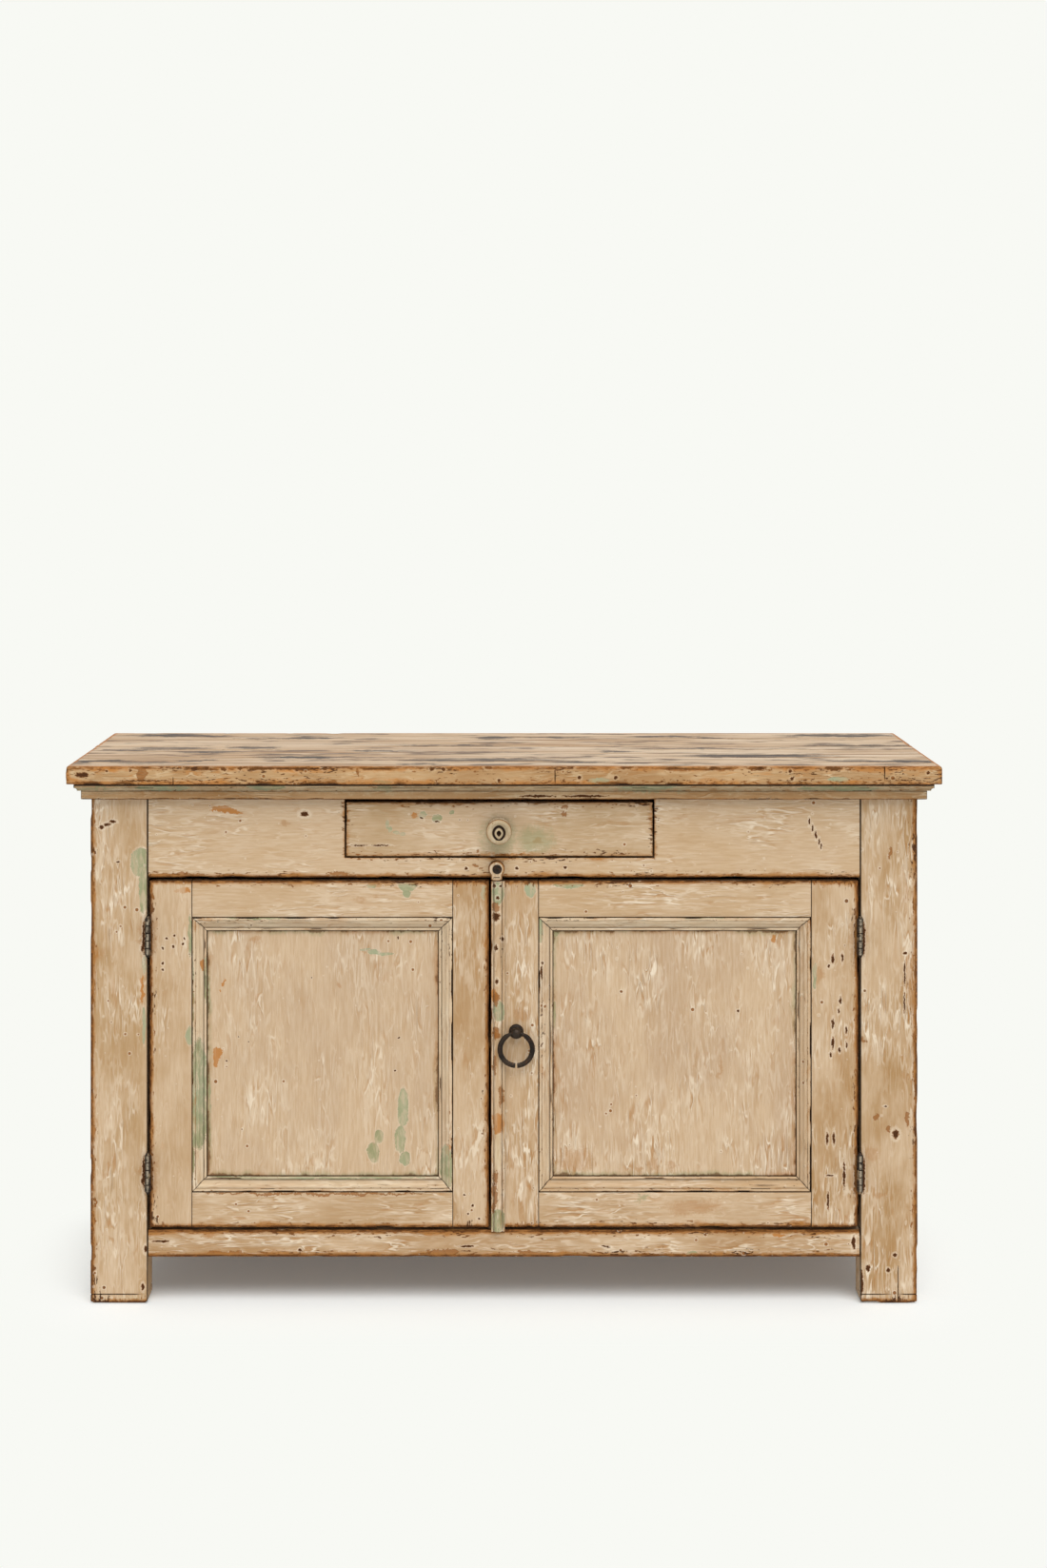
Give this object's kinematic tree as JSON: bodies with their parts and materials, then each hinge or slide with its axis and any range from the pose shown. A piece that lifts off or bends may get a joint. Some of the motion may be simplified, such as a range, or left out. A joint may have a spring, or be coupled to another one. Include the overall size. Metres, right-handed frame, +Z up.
{
  "type": "sideboard",
  "caption": "Low painted pine sideboard on square posts: plank top over a stepped cornice, one drawer with a turned knob, panelled doors on iron butt hinges, ring pull and turn button.",
  "frame": {"origin": "on the floor, under the middle of the top", "axes": "+X to the right seen from the front, along the length; -Y out of the front; +Z up"},
  "size_m": [1.462, 0.5, 0.908],
  "materials": {
    "cream_paint": "old brushed cream paint, worn to wood at the edges",
    "bare_pine": "bare, weathered, rubbed smooth",
    "inside_pine": "unpainted, aged",
    "iron": "blackened, worn"
  },
  "bodies": {
    "carcass": {"top_board_front": "bare_pine", "top_board_rear": "bare_pine", "cornice_front": "cream_paint", "cornice_left": "cream_paint", "cornice_right": "cream_paint", "post_front_left": "cream_paint", "post_front_right": "cream_paint", "post_rear_left": "cream_paint", "post_rear_right": "cream_paint", "frieze_board": "cream_paint", "bottom_rail_front": "cream_paint", "back_rail_upper": "inside_pine", "back_rail_lower": "inside_pine", "side_rail_top_left": "cream_paint", "side_rail_bottom_left": "cream_paint", "side_rail_top_right": "cream_paint", "side_rail_bottom_right": "cream_paint", "side_panel_left": "cream_paint", "side_panel_right": "cream_paint", "back_boards": "inside_pine", "cupboard_floor": "inside_pine", "shelf": "inside_pine", "drawer_runner_left": "inside_pine", "drawer_runner_right": "inside_pine", "left_upper_hinge_post_leaf": "iron", "left_lower_hinge_post_leaf": "iron", "right_upper_hinge_post_leaf": "iron", "right_lower_hinge_post_leaf": "iron"},
    "left_door": {"left_door_hinge_stile": "cream_paint", "left_door_meeting_stile": "cream_paint", "left_door_top_rail": "cream_paint", "left_door_bottom_rail": "cream_paint", "left_door_panel": "cream_paint", "left_door_left_moulding": "cream_paint", "left_door_right_moulding": "cream_paint", "left_door_top_moulding": "cream_paint", "left_door_bottom_moulding": "cream_paint", "left_upper_hinge_door_leaf": "iron", "left_lower_hinge_door_leaf": "iron"},
    "right_door": {"right_door_hinge_stile": "cream_paint", "right_door_meeting_stile": "cream_paint", "right_door_top_rail": "cream_paint", "right_door_bottom_rail": "cream_paint", "right_door_panel": "cream_paint", "right_door_left_moulding": "cream_paint", "right_door_right_moulding": "cream_paint", "right_door_top_moulding": "cream_paint", "right_door_bottom_moulding": "cream_paint", "cover_strip": "cream_paint", "ring_rose": "iron", "right_upper_hinge_door_leaf": "iron", "right_lower_hinge_door_leaf": "iron"},
    "ring": {"pull_ring": "iron"},
    "drawer": {"drawer_front": "cream_paint", "drawer_side_left": "inside_pine", "drawer_side_right": "inside_pine", "drawer_back": "inside_pine", "drawer_bottom": "inside_pine", "drawer_knob": "cream_paint"},
    "turn_button": {"turn_button": "cream_paint"}
  },
  "joints": [
    {"name": "left_door_hinge", "type": "hinge", "parent": "carcass", "child": "left_door", "pos_m": [-0.5977, -0.218, 0.4195], "axis": [0, 0, -1], "range_deg": [0, 165]},
    {"name": "right_door_hinge", "type": "hinge", "parent": "carcass", "child": "right_door", "pos_m": [0.5977, -0.218, 0.4195], "axis": [0, 0, 1], "range_deg": [0, 165]},
    {"name": "ring_swing", "type": "hinge", "parent": "right_door", "child": "ring", "pos_m": [0.0205, -0.2243, 0.4575], "axis": [-1, 0, 0], "range_deg": [0, 105]},
    {"name": "drawer_slide", "type": "slide", "parent": "carcass", "child": "drawer", "axis": [0, -1, 0], "range_m": [0, 0.32]},
    {"name": "button_turn", "type": "hinge", "parent": "carcass", "child": "turn_button", "pos_m": [-0.0125, -0.211, 0.73175], "axis": [0, 1, 0], "range_deg": [-90, 90]}
  ]
}
